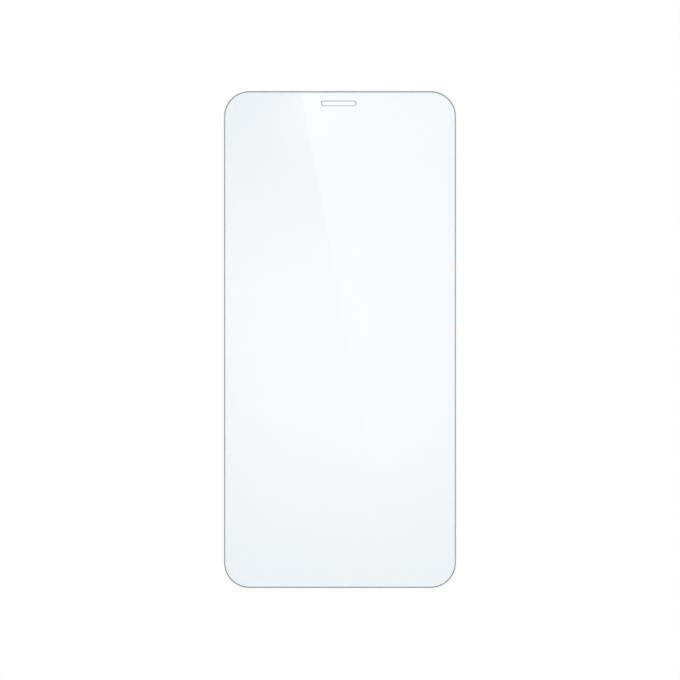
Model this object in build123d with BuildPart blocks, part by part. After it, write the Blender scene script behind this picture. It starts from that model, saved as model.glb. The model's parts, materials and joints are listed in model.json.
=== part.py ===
"""Tempered glass screen protector for a phone.

One flat sheet of hardened glass. It lies on its underside, the face that bonds to the display,
with +Z up through the touch face and +Y towards the end with the earpiece slot.
The touch face runs down to the outline in a polished curve, the rounded rim that such sheets have,
and a short straight wall and a small break finish the edge below it.
The slot goes right through, with a wide bevel round its upper mouth.
"""

import os

from build123d import *

# The sheet, in millimetres
sheet_width = 66.5
sheet_length = 142.4
sheet_thickness = 0.33
corner_radius = 7.25

# The rim: a curve that leaves the touch face level and stops above a straight wall
rim_width = 0.50
rim_wall = 0.12

# The small flat that takes the sharpness off each edge of the underside
underside_break = 0.04

# The earpiece slot: its clear opening, and where its centre lies
slot_length = 9.80
slot_width = 1.20
slot_from_top = 3.50
slot_off_centre = -0.40

# The bevel round the slot's upper mouth
slot_bevel_width = 0.20
slot_bevel_depth = 0.12

# How far the grinding shape stands clear of the glass that it cuts
cutter_clearance = 0.50

rim_drop = sheet_thickness - rim_wall
slot_y = sheet_length / 2 - slot_from_top

with BuildPart() as glass_sheet:
    # The cut blank, with the slot through it
    with BuildSketch() as blank:
        RectangleRounded(sheet_width, sheet_length, corner_radius)
        with Locations((slot_off_centre, slot_y)):
            SlotOverall(slot_length, slot_width, mode=Mode.SUBTRACT)
    extrude(amount=sheet_thickness)

    touch_face = glass_sheet.faces().sort_by(Axis.Z)[-1]
    outline = touch_face.outer_wire()
    slot_mouth = touch_face.inner_wires()[0].edges()

    # The slot's bevel, wider across the touch face than it is deep
    chamfer(slot_mouth, slot_bevel_width, slot_bevel_depth, reference=touch_face)

    # The rounded rim, ground off by one section that follows the outline.
    # In the section's own plane X points out of the glass and Y down into it.
    along = outline % 0
    rim_plane = Plane(outline @ 0, x_dir=along.cross(Vector(0, 0, 1)), z_dir=along)
    with BuildSketch(rim_plane):
        with BuildLine():
            curve = TangentArc((-rim_width, 0), (0, rim_drop), tangent=(1, 0))
            Polyline(
                curve @ 1,
                (cutter_clearance, rim_drop),
                (cutter_clearance, -cutter_clearance),
                (-rim_width, -cutter_clearance),
                curve @ 0,
            )
        make_face()
    sweep(path=outline, mode=Mode.SUBTRACT)

    # The break along the outline and the slot on the underside
    underside = glass_sheet.faces().sort_by(Axis.Z)[0]
    chamfer(underside.edges(), underside_break)

glass_sheet.part.label = "glass_sheet"

os.makedirs("parts", exist_ok=True)
export_step(glass_sheet.part, "parts/glass_sheet.step")
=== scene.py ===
"""Looks of a tempered glass screen protector, laid face up on a white table.

The sheet is one piece of clear glass. Its touch face and its underside are polished. Its rim and
the slot for the earpiece are ground, and the thin grey line round both is partly painted shade.
"""

import json
import math

import bmesh
import bpy
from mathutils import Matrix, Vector


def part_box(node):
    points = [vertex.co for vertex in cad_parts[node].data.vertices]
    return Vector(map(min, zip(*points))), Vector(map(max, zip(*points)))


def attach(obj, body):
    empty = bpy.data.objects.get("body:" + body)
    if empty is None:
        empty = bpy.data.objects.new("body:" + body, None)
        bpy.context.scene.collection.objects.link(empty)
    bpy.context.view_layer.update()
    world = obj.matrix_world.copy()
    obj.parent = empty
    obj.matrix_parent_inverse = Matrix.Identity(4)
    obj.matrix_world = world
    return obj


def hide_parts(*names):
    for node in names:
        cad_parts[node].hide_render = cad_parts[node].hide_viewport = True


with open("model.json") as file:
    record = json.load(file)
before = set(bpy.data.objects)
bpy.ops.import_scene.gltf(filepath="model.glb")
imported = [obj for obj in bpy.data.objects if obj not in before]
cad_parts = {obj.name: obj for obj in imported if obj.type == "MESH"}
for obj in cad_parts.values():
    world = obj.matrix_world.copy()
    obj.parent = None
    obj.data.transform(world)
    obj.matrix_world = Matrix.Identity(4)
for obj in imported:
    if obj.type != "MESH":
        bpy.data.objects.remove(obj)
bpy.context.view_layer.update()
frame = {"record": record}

MM = 0.001

# The sheet, in millimetres. Its outer sizes and the slot's place come from the frame, and the rest
# is as the solid has it.
sheet_low, sheet_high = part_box("glass_sheet")
SHEET_WIDTH, SHEET_LENGTH, SHEET_THICKNESS = (sheet_high - sheet_low) / MM
CORNER_RADIUS = 7.25
RIM_WIDTH = 0.50
RIM_WALL = 0.12
UNDERSIDE_BREAK = 0.04
SLOT_LENGTH = 9.80
SLOT_WIDTH = 1.20
slot_mount = next(m for m in frame["record"]["mounts"] if m["name"] == "earpiece_slot")
SLOT_CENTRE = tuple(place / MM for place in slot_mount["pos_m"][:2])
SLOT_BEVEL_WIDTH = 0.20
SLOT_BEVEL_DEPTH = 0.12

# The wheel leaves this much of the rim ground. The rest of the curve is polished with the face.
GROUND_WIDTH = 0.385


# Small tools


def linear(code, strength=1.0):
    """A colour written as sRGB hex, as the linear values that shaders take."""
    parts = [int(code[i : i + 2], 16) / 255 for i in (1, 3, 5)]
    parts = [p / 12.92 if p <= 0.04045 else ((p + 0.055) / 1.055) ** 2.4 for p in parts]
    return (*(p * strength for p in parts), 1.0)


def add(tree, kind, settings=None, inputs=None):
    """Adds a node to a tree, sets what it is set to, and links or sets its inputs."""
    made = tree.nodes.new(kind)
    for name, value in (settings or {}).items():
        setattr(made, name, value)
    for key, value in (inputs or {}).items():
        if isinstance(value, bpy.types.NodeSocket):
            tree.links.new(value, made.inputs[key])
        else:
            made.inputs[key].default_value = value
    return made


def new_material(name):
    """An empty node material and its tree."""
    material = bpy.data.materials.new(name)
    material.use_nodes = True
    material.node_tree.nodes.clear()
    return material, material.node_tree


# The glass. Lengths are in millimetres.

GLASS_IOR = 1.5
HAZE_SIZE = 30.0  # the coating is wiped on by hand, and its haze changes over some 30 mm
WHEEL_MARKS = 0.25  # the wheel's marks lie 0.03 mm apart, and are drawn coarser so that they show
EDGE_DARKER_RUN = 3.5  # along the sheet, from where its corners begin
SLOT_DARKER_RUN = (-0.1, 0.5)  # along the slot, from where its round ends begin


def clear_hardened_glass():
    """Chemically hardened float glass with both faces polished. It is almost colourless, so the
    eye sees the table through it a shade darker, and on top of that a soft mirror image of the
    lamps. The clear coating that keeps fingerprints off makes that image a little stronger."""
    material, tree = new_material("clear_hardened_glass")
    place = add(tree, "ShaderNodeTexCoord").outputs["Object"]
    haze = add(
        tree,
        "ShaderNodeTexNoise",
        inputs={"Vector": place, "Scale": 1 / (HAZE_SIZE * MM), "Detail": 2.0, "Roughness": 0.5},
    ).outputs["Fac"]
    roughness = add(
        tree,
        "ShaderNodeMapRange",
        inputs={"Value": haze, "From Min": 0.3, "From Max": 0.7, "To Min": 0.008, "To Max": 0.02},
    ).outputs["Result"]
    colour = add(
        tree,
        "ShaderNodeMix",
        {"data_type": "RGBA"},
        {"Factor": haze, 6: linear("#FCFFFF"), 7: linear("#FEFFFF")},
    ).outputs[2]
    glass = add(
        tree,
        "ShaderNodeBsdfPrincipled",
        inputs={
            "Base Color": colour,
            "Roughness": roughness,
            "IOR": GLASS_IOR,
            "Transmission Weight": 1.0,
            "Coat Weight": 1.0,
            "Coat Roughness": 0.01,
        },
    )
    add(tree, "ShaderNodeOutputMaterial", inputs={"Surface": glass.outputs[0]})
    return material


def ground_glass_and_painted_shade(name, tones, axis, middle, turn, darker_ends_tone):
    """Glass ground with a fine diamond wheel, whose roughness scatters the light. Its grey colour
    is
    painted shade: a satin grey line that lets only part of the table through and stands in for the
    darkness that light bent at the glass's edge shows. The colour is also made darker on the axis,
    between the two distances of turn from the middle, and round the slot's ends that is painted
    shade."""
    material, tree = new_material(name)
    place = add(tree, "ShaderNodeTexCoord").outputs["Object"]
    marks = add(
        tree,
        "ShaderNodeTexNoise",
        inputs={"Vector": place, "Scale": 1 / (WHEEL_MARKS * MM), "Detail": 3.0, "Roughness": 0.6},
    ).outputs["Fac"]
    colour = add(
        tree,
        "ShaderNodeMix",
        {"data_type": "RGBA"},
        {"Factor": marks, 6: linear(tones[0]), 7: linear(tones[1])},
    ).outputs[2]
    along = add(tree, "ShaderNodeSeparateXYZ", inputs={0: place}).outputs[axis]
    along = add(
        tree, "ShaderNodeMath", {"operation": "SUBTRACT"}, {0: along, 1: middle * MM}
    ).outputs[0]
    along = add(tree, "ShaderNodeMath", {"operation": "ABSOLUTE"}, {0: along}).outputs[0]
    # where the colour is made darker; round the slot's ends this is painted shade
    darker_ends = add(
        tree,
        "ShaderNodeMapRange",
        {"interpolation_type": "SMOOTHSTEP"},
        {"Value": along, "From Min": turn[0] * MM, "From Max": turn[1] * MM},
    ).outputs["Result"]
    colour = add(
        tree,
        "ShaderNodeMix",
        {"data_type": "RGBA", "blend_type": "MULTIPLY"},
        {"Factor": darker_ends, 6: colour, 7: linear(darker_ends_tone)},
    ).outputs[2]
    roughness = add(
        tree,
        "ShaderNodeMapRange",
        inputs={"Value": marks, "From Min": 0.3, "From Max": 0.7, "To Min": 0.38, "To Max": 0.52},
    ).outputs["Result"]
    glass = add(
        tree,
        "ShaderNodeBsdfPrincipled",
        inputs={
            "Base Color": colour,
            "Roughness": roughness,
            "IOR": GLASS_IOR,
            "Transmission Weight": 0.35,
        },
    )
    add(tree, "ShaderNodeOutputMaterial", inputs={"Surface": glass.outputs[0]})
    return material


def ground_edge_and_painted_shade():
    """The ground part of the rim, grey with painted shade, and darker round the corners and along
    the ends.
    """
    corner_start = SHEET_LENGTH / 2 - CORNER_RADIUS
    return ground_glass_and_painted_shade(
        "ground_glass_edge_and_painted_shade",
        # painted shade: the grey that stands in for the dark line at the rim
        tones=("#8D969A", "#9DA6AA"),
        axis="Y",
        middle=0.0,
        turn=(corner_start, corner_start + EDGE_DARKER_RUN),
        darker_ends_tone="#DEDEDE",
    )


def ground_slot_and_painted_shade():
    """The slot's walls and bevel, in a painted-shade grey lighter than the rim, with painted shade
    darkening its two ends.
    """
    end_start = (SLOT_LENGTH - SLOT_WIDTH) / 2
    return ground_glass_and_painted_shade(
        "ground_glass_slot_and_painted_shade",
        tones=("#9EA2A3", "#B2B6B6"),
        # painted shade: a lighter grey for the slot's line
        axis="X",
        middle=SLOT_CENTRE[0],
        turn=tuple(end_start + run for run in SLOT_DARKER_RUN),
        # painted shade: the tone that darkens the slot's line round its two ends
        darker_ends_tone="#B1B2B6",
    )


# The sheet's mesh

CORNER_STEPS = 48
SLOT_END_STEPS = 24
POLISHED_STEPS = 4
GROUND_STEPS = 14
SAME_POINT = 1e-6
SHARP_ANGLE = math.radians(20)

CLEAR, EDGE, SLOT = range(3)  # the places of the materials on the sheet


def outline(width, length, radius, centre, grow, steps):
    """Points round a rectangle with round corners, moved outwards by grow, anticlockwise."""
    points = []
    for quarter, (side, end) in enumerate([(1, 1), (-1, 1), (-1, -1), (1, -1)]):
        x = centre[0] + side * (width / 2 - radius)
        y = centre[1] + end * (length / 2 - radius)
        for step in range(steps + 1):
            turn = math.pi / 2 * (quarter + step / steps)
            point = x + (radius + grow) * math.cos(turn), y + (radius + grow) * math.sin(turn)
            if not points or math.dist(point, points[-1]) > SAME_POINT:
                points.append(point)
    if math.dist(points[0], points[-1]) < SAME_POINT:
        points.pop()
    return points


def rim_section():
    """The rim from the touch face to the underside: how far in each ring lies, its height, and
    the finish of the band below it."""
    drop = SHEET_THICKNESS - RIM_WALL
    bend = (RIM_WIDTH**2 + drop**2) / (2 * drop)
    full_turn = math.asin(RIM_WIDTH / bend)
    ground_turn = math.asin((RIM_WIDTH - GROUND_WIDTH) / bend)
    turns = [(ground_turn * i / POLISHED_STEPS, CLEAR) for i in range(POLISHED_STEPS)]
    for i in range(GROUND_STEPS + 1):
        turns.append((ground_turn + (full_turn - ground_turn) * i / GROUND_STEPS, EDGE))
    rings = []
    for turn, finish in turns:
        inset = RIM_WIDTH - bend * math.sin(turn)
        height = SHEET_THICKNESS - bend * (1 - math.cos(turn))
        rings.append((inset, height, finish))
    rings += [(0.0, UNDERSIDE_BREAK, EDGE), (UNDERSIDE_BREAK, 0.0, CLEAR)]
    return rings


def ring_of_vertices(mesh, points, height):
    """Vertices at the points of an outline, all at one height."""
    return [mesh.verts.new((x * MM, y * MM, height * MM)) for x, y in points]


def band(mesh, upper, lower, finish):
    """Faces between two rings that have the same number of points."""
    for i in range(len(upper)):
        j = (i + 1) % len(upper)
        face = mesh.faces.new((upper[i], lower[i], lower[j], upper[j]))
        face.material_index = finish


def plate(mesh, outer, inner, upwards):
    """A flat polished face between the rim and the slot, made in two halves that meet beside the
    slot, because one face can't go round a hole."""
    half_outer, half_inner = len(outer) // 2, len(inner) // 2
    halves = [
        outer[:half_outer] + inner[:half_inner][::-1],
        outer[half_outer - 1 :] + outer[:1] + inner[:1] + inner[half_inner - 1 :][::-1],
    ]
    for corners in halves:
        face = mesh.faces.new(corners if upwards else corners[::-1])
        face.material_index = CLEAR


def glass_sheet():
    """The sheet itself, with its curved rim and the bevelled slot."""
    mesh = bmesh.new()

    rim = []
    finishes = []
    for inset, height, finish in rim_section():
        points = outline(SHEET_WIDTH, SHEET_LENGTH, CORNER_RADIUS, (0, 0), -inset, CORNER_STEPS)
        rim.append(ring_of_vertices(mesh, points, height))
        finishes.append(finish)
    for upper, lower, finish in zip(rim, rim[1:], finishes):
        band(mesh, upper, lower, finish)

    slot = []
    for grow, height in (
        (SLOT_BEVEL_WIDTH, SHEET_THICKNESS),
        (0.0, SHEET_THICKNESS - SLOT_BEVEL_DEPTH),
        (0.0, UNDERSIDE_BREAK),
        (UNDERSIDE_BREAK, 0.0),
    ):
        points = outline(
            SLOT_LENGTH, SLOT_WIDTH, SLOT_WIDTH / 2, SLOT_CENTRE, grow, SLOT_END_STEPS
        )
        slot.append(ring_of_vertices(mesh, points, height))
    for upper, lower in zip(slot, slot[1:]):
        band(mesh, lower, upper, SLOT)  # turned over, because the slot's walls face inwards

    plate(mesh, rim[0], slot[0], upwards=True)
    plate(mesh, rim[-1], slot[-1], upwards=False)

    data = bpy.data.meshes.new("polished_glass_sheet")
    mesh.to_mesh(data)
    mesh.free()
    for material in (clear_hardened_glass(), ground_edge_and_painted_shade(), ground_slot_and_painted_shade()):
        data.materials.append(material)
    data.set_sharp_from_angle(angle=SHARP_ANGLE)
    for face in data.polygons:
        face.use_smooth = len(face.vertices) == 4  # the plates mirror as the flat faces they are
    sheet = bpy.data.objects.new("polished_glass_sheet", data)
    bpy.context.scene.collection.objects.link(sheet)
    return sheet


sheet = glass_sheet()
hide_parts("glass_sheet")
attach(sheet, "root")


# The table, which the sheet lies on without touching it all over

TABLE_GAP = 0.05
TABLE_SIZE = 6000.0
TABLE_WHITE = 1.0  # how bright the table is in the picture
TABLE_SHADED = 0.2  # the part of that brightness which shadows can take away


def seen_directly(tree, by_camera):
    """1 for what the glass mirrors or lets through, and 0 for the light that falls on things.
    With by_camera, 1 also for what the camera sees itself."""
    path = add(tree, "ShaderNodeLightPath").outputs
    seen = add(
        tree,
        "ShaderNodeMath",
        {"operation": "MAXIMUM"},
        {0: path["Is Glossy Ray"], 1: path["Is Transmission Ray"]},
    ).outputs[0]
    if by_camera:
        seen = add(
            tree, "ShaderNodeMath", {"operation": "MAXIMUM"}, {0: seen, 1: path["Is Camera Ray"]}
        ).outputs[0]
    before_table = add(
        tree, "ShaderNodeMath", {"operation": "LESS_THAN"}, {0: path["Diffuse Depth"], 1: 0.5}
    ).outputs[0]
    return add(
        tree, "ShaderNodeMath", {"operation": "MULTIPLY"}, {0: seen, 1: before_table}
    ).outputs[0]


def matt_white_laminate():
    """A pressed laminate with a matt white face, which shows plain white with no gloss."""
    material, tree = new_material("matt_white_laminate")
    matt = add(
        tree, "ShaderNodeBsdfDiffuse", inputs={"Color": (*[TABLE_SHADED] * 3, 1.0)}
    ).outputs[0]
    lift = add(
        tree,
        "ShaderNodeMath",
        {"operation": "MULTIPLY"},
        {0: seen_directly(tree, by_camera=True), 1: TABLE_WHITE - TABLE_SHADED},
    ).outputs[0]
    glow = add(
        tree, "ShaderNodeEmission", inputs={"Color": (1, 1, 1, 1), "Strength": lift}
    ).outputs[0]
    both = add(tree, "ShaderNodeAddShader", inputs={0: matt, 1: glow}).outputs[0]
    add(tree, "ShaderNodeOutputMaterial", inputs={"Surface": both})
    material.cycles.emission_sampling = "NONE"
    return material


def table_top():
    """A table far larger than the picture, just under the sheet."""
    reach = TABLE_SIZE / 2 * MM
    corners = ((-reach, -reach), (reach, -reach), (reach, reach), (-reach, reach))
    data = bpy.data.meshes.new("table_top")
    data.from_pydata([(x, y, -TABLE_GAP * MM) for x, y in corners], [], [(0, 1, 2, 3)])
    data.materials.append(matt_white_laminate())
    table = bpy.data.objects.new("table_top", data)
    bpy.context.scene.collection.objects.link(table)
    return table


table_top()


# The camera looks straight down at the sheet, from far enough for straight sides

FRAME_PIXELS = 680
SHEET_WIDTH_PIXELS = 232.0
CAMERA_DROP_PIXELS = 0.45
LENS = 100.0
SENSOR = 36.0

pixel = SHEET_WIDTH / SHEET_WIDTH_PIXELS
camera_height = pixel * FRAME_PIXELS * LENS / SENSOR + SHEET_THICKNESS

camera_data = bpy.data.cameras.new("camera")
camera_data.lens = LENS
camera_data.sensor_width = SENSOR
camera = bpy.data.objects.new("camera", camera_data)
camera.location = Vector((0, -CAMERA_DROP_PIXELS * pixel, camera_height)) * MM
bpy.context.scene.collection.objects.link(camera)
bpy.context.scene.camera = camera


# The studio, as the glass mirrors it. A lamp has a colour and a strength. Places and sizes overhead
# are in millimetres on the sheet, where the glass shows them to a camera straight above it.

ROUND_LAMP = "#F8F2FF", 1.06
ROUND_LAMP_CENTRE = (2.5, -0.6)
ROUND_LAMP_RADIUS = 80.0
ROUND_LAMP_FALL = 1.84  # how soon it dims away from its centre

STRIP_LAMP = "#FFD0B9", 0.54
STRIP_LAMP_START = (-11.2, 70.95)  # where its straight edge meets the sheet's top edge
STRIP_LAMP_SLANT = math.atan(0.193)
STRIP_LAMP_BLUR = 0.3
STRIP_LAMP_FADE = 33.4
STRIP_LAMP_END = (90.0, 170.0)

STRIP_RIM = "#FFFFFF", 0.065  # the strip lamp's bright rim along that edge
STRIP_RIM_FADE = 14.0
STRIP_RIM_END = (95.0, 118.0)

SPOT_LAMP = "#FFE1D1", 0.47
SPOT_LAMP_CENTRE = (-7.7, 67.2)
SPOT_LAMP_RADIUS = 11.1
SPOT_LAMP_BESIDE_STRIP = 0.54  # its share of light where the strip lamp lights the same place

# Panels in a ring further out, which only the polished curve of the rim mirrors
PANELS = "#FFFFFF", 2.2
PANELS_START = (84.0, 96.0)
PANELS_END = (220.0, 260.0)

# The room's tones from the horizon up, at heights given as the sine of the angle above it
HORIZON_TONE = "#E9F1F9"
WALL_TONE, WALL_HEIGHT = "#C8DDF1", 0.35
CEILING_TONE, CEILING_HEIGHT = "#7DB0D9", 0.95

# Tall windows all round, with gaps as wide as they are
WINDOWS = 3
WINDOW = "#F3F7FB", 1.0
WINDOW_EDGE = math.radians(124.75)  # where one window's edge stands
WINDOW_LEAN = 0.55  # how far that edge leans sideways for each degree that it rises
WINDOW_BLUR = 0.01
WINDOW_SILL = (0.10, 0.17)
WINDOW_HEAD = (0.70, 0.85)

LOWEST_RISE = 0.05  # ways that rise less than this pass far from every lamp


def distance_overhead(tree, overhead, place):
    """How far a way up passes from a place overhead."""
    return add(
        tree,
        "ShaderNodeVectorMath",
        {"operation": "DISTANCE"},
        {0: overhead, 1: (*place, camera_height)},
    ).outputs["Value"]


def bounded(tree, value, start, end):
    """1 between start and end, which are both a soft step from one value to the next."""
    begins = add(
        tree,
        "ShaderNodeMapRange",
        {"interpolation_type": "SMOOTHSTEP"},
        {"Value": value, "From Min": start[0], "From Max": start[1]},
    ).outputs["Result"]
    ends = add(
        tree,
        "ShaderNodeMapRange",
        {"interpolation_type": "SMOOTHSTEP"},
        {"Value": value, "From Min": end[1], "From Max": end[0]},
    ).outputs["Result"]
    return add(tree, "ShaderNodeMath", {"operation": "MULTIPLY"}, {0: begins, 1: ends}).outputs[0]


def round_lamp(tree, overhead):
    """The large lamp, which dims evenly into the ceiling's tone towards its rim."""
    away = distance_overhead(tree, overhead, ROUND_LAMP_CENTRE)
    away = add(
        tree, "ShaderNodeMath", {"operation": "DIVIDE"}, {0: away, 1: ROUND_LAMP_RADIUS}
    ).outputs[0]
    fall = add(
        tree, "ShaderNodeMath", {"operation": "POWER"}, {0: away, 1: ROUND_LAMP_FALL}
    ).outputs[0]
    return add(
        tree, "ShaderNodeMath", {"operation": "SUBTRACT", "use_clamp": True}, {0: 1.0, 1: fall}
    ).outputs[0]


def strip_lamp(tree, overhead):
    """The long lamp with a straight slanted edge. It gives three things: whether a way passes
    beside that edge where the lamp is, the lamp's light, and the light of its bright rim."""
    from_start = add(
        tree,
        "ShaderNodeVectorMath",
        {"operation": "SUBTRACT"},
        {0: overhead, 1: (*STRIP_LAMP_START, camera_height)},
    ).outputs[0]
    across = add(
        tree,
        "ShaderNodeVectorMath",
        {"operation": "DOT_PRODUCT"},
        {0: from_start, 1: (math.cos(STRIP_LAMP_SLANT), math.sin(STRIP_LAMP_SLANT), 0)},
    ).outputs["Value"]
    down = add(tree, "ShaderNodeSeparateXYZ", inputs={0: from_start}).outputs["Y"]

    edge = add(
        tree,
        "ShaderNodeMapRange",
        {"interpolation_type": "SMOOTHSTEP"},
        {"Value": across, "From Min": -STRIP_LAMP_BLUR, "From Max": STRIP_LAMP_BLUR},
    ).outputs["Result"]
    ends = add(
        tree,
        "ShaderNodeMapRange",
        {"interpolation_type": "SMOOTHSTEP"},
        {
            "Value": distance_overhead(tree, overhead, (0.0, 0.0)),
            "From Min": STRIP_LAMP_END[1],
            "From Max": STRIP_LAMP_END[0],
        },
    ).outputs["Result"]
    beside = add(tree, "ShaderNodeMath", {"operation": "MULTIPLY"}, {0: edge, 1: ends}).outputs[0]

    fall = add(tree, "ShaderNodeMath", {"operation": "MINIMUM"}, {0: down, 1: 0.0}).outputs[0]
    fall = add(
        tree, "ShaderNodeMath", {"operation": "DIVIDE"}, {0: fall, 1: STRIP_LAMP_FADE}
    ).outputs[0]
    fall = add(tree, "ShaderNodeMath", {"operation": "EXPONENT"}, {0: fall}).outputs[0]
    light = add(tree, "ShaderNodeMath", {"operation": "MULTIPLY"}, {0: fall, 1: beside}).outputs[0]

    aside = add(tree, "ShaderNodeMath", {"operation": "MAXIMUM"}, {0: across, 1: 0.0}).outputs[0]
    aside = add(
        tree, "ShaderNodeMath", {"operation": "DIVIDE"}, {0: aside, 1: -STRIP_RIM_FADE}
    ).outputs[0]
    aside = add(tree, "ShaderNodeMath", {"operation": "EXPONENT"}, {0: aside}).outputs[0]
    lower_end = add(
        tree,
        "ShaderNodeMapRange",
        {"interpolation_type": "SMOOTHSTEP"},
        {"Value": down, "From Min": -STRIP_RIM_END[1], "From Max": -STRIP_RIM_END[0]},
    ).outputs["Result"]
    rim = add(tree, "ShaderNodeMath", {"operation": "MULTIPLY"}, {0: aside, 1: beside}).outputs[0]
    rim = add(tree, "ShaderNodeMath", {"operation": "MULTIPLY"}, {0: rim, 1: lower_end}).outputs[0]
    return beside, light, rim


def spot_lamp(tree, overhead, beside):
    """The small lamp behind the near end of the strip lamp."""
    away = distance_overhead(tree, overhead, SPOT_LAMP_CENTRE)
    away = add(
        tree, "ShaderNodeMath", {"operation": "DIVIDE"}, {0: away, 1: SPOT_LAMP_RADIUS}
    ).outputs[0]
    away = add(tree, "ShaderNodeMath", {"operation": "MULTIPLY"}, {0: away, 1: away}).outputs[0]
    away = add(tree, "ShaderNodeMath", {"operation": "MULTIPLY"}, {0: away, 1: -1.0}).outputs[0]
    light = add(tree, "ShaderNodeMath", {"operation": "EXPONENT"}, {0: away}).outputs[0]
    kept = add(
        tree,
        "ShaderNodeMapRange",
        inputs={"Value": beside, "To Min": 1.0, "To Max": SPOT_LAMP_BESIDE_STRIP},
    ).outputs["Result"]
    return add(tree, "ShaderNodeMath", {"operation": "MULTIPLY"}, {0: light, 1: kept}).outputs[0]


def ring_of_panels(tree, overhead):
    """The bright panels round the lamps, which light the inner border of the ground line."""
    away = distance_overhead(tree, overhead, (0.0, 0.0))
    return bounded(tree, away, PANELS_START, PANELS_END)


def room_tones(tree, height):
    """The empty room, from its pale horizon to its dim blue ceiling."""
    tones = add(tree, "ShaderNodeValToRGB", inputs={0: height})
    stops = tones.color_ramp.elements
    stops[0].color = linear(HORIZON_TONE)
    stops[1].position = CEILING_HEIGHT
    stops[1].color = linear(CEILING_TONE)
    stops.new(WALL_HEIGHT).color = linear(WALL_TONE)
    return tones.outputs["Color"]


def tall_windows(tree, way, height):
    """The windows round the room, whose edges lean."""
    axes = add(tree, "ShaderNodeSeparateXYZ", inputs={0: way}).outputs
    turn = add(
        tree, "ShaderNodeMath", {"operation": "ARCTAN2"}, {0: axes["Y"], 1: axes["X"]}
    ).outputs[0]
    rise = add(tree, "ShaderNodeMath", {"operation": "ARCSINE"}, {0: height}).outputs[0]
    turn = add(
        tree,
        "ShaderNodeMath",
        {"operation": "MULTIPLY_ADD"},
        {0: rise, 1: -WINDOW_LEAN, 2: turn},
    ).outputs[0]
    # A wave round the room, above nought where a window is
    wave = add(
        tree,
        "ShaderNodeMath",
        {"operation": "MULTIPLY_ADD"},
        {0: turn, 1: WINDOWS, 2: math.pi - WINDOWS * WINDOW_EDGE},
    ).outputs[0]
    wave = add(tree, "ShaderNodeMath", {"operation": "SINE"}, {0: wave}).outputs[0]
    panes = add(
        tree,
        "ShaderNodeMapRange",
        {"interpolation_type": "SMOOTHSTEP"},
        {"Value": wave, "From Min": -WINDOW_BLUR, "From Max": WINDOW_BLUR},
    ).outputs["Result"]
    rows = bounded(tree, height, WINDOW_SILL, WINDOW_HEAD)
    return add(tree, "ShaderNodeMath", {"operation": "MULTIPLY"}, {0: panes, 1: rows}).outputs[0]


def studio():
    """The world. Only what the glass mirrors shows the room and its lamps. The light that falls on
    things, and what the camera sees past them, is plain white."""
    world = bpy.data.worlds.new("studio")
    world.use_nodes = True
    tree = world.node_tree
    tree.nodes.clear()
    way = add(tree, "ShaderNodeTexCoord").outputs["Generated"]
    height = add(tree, "ShaderNodeSeparateXYZ", inputs={0: way}).outputs["Z"]

    # Where a way up meets the level of the camera
    rise = add(
        tree, "ShaderNodeMath", {"operation": "MAXIMUM"}, {0: height, 1: LOWEST_RISE}
    ).outputs[0]
    reach = add(
        tree, "ShaderNodeMath", {"operation": "DIVIDE"}, {0: camera_height, 1: rise}
    ).outputs[0]
    overhead = add(
        tree, "ShaderNodeVectorMath", {"operation": "SCALE"}, {0: way, "Scale": reach}
    ).outputs[0]

    beside, strip, strip_rim = strip_lamp(tree, overhead)
    room = room_tones(tree, height)
    for light, lamp, blend in (
        (tall_windows(tree, way, height), WINDOW, "MIX"),
        (round_lamp(tree, overhead), ROUND_LAMP, "MIX"),
        (strip, STRIP_LAMP, "ADD"),
        (strip_rim, STRIP_RIM, "ADD"),
        (spot_lamp(tree, overhead, beside), SPOT_LAMP, "ADD"),
        (ring_of_panels(tree, overhead), PANELS, "MIX"),
    ):
        room = add(
            tree,
            "ShaderNodeMix",
            {"data_type": "RGBA", "blend_type": blend},
            {"Factor": light, 6: room, 7: linear(*lamp)},
        ).outputs[2]

    shown = add(
        tree,
        "ShaderNodeMix",
        {"data_type": "RGBA"},
        {"Factor": seen_directly(tree, by_camera=False), 6: (1, 1, 1, 1), 7: room},
    ).outputs[2]
    sky = add(tree, "ShaderNodeBackground", inputs={"Color": shown, "Strength": 1.0}).outputs[0]
    add(tree, "ShaderNodeOutputWorld", inputs={"Surface": sky})
    return world


bpy.context.scene.world = studio()
bpy.context.scene.view_settings.view_transform = "Standard"
# Light passes the polished faces as sharply after a bounce off the table as before it
bpy.context.scene.cycles.blur_glossy = 0.0
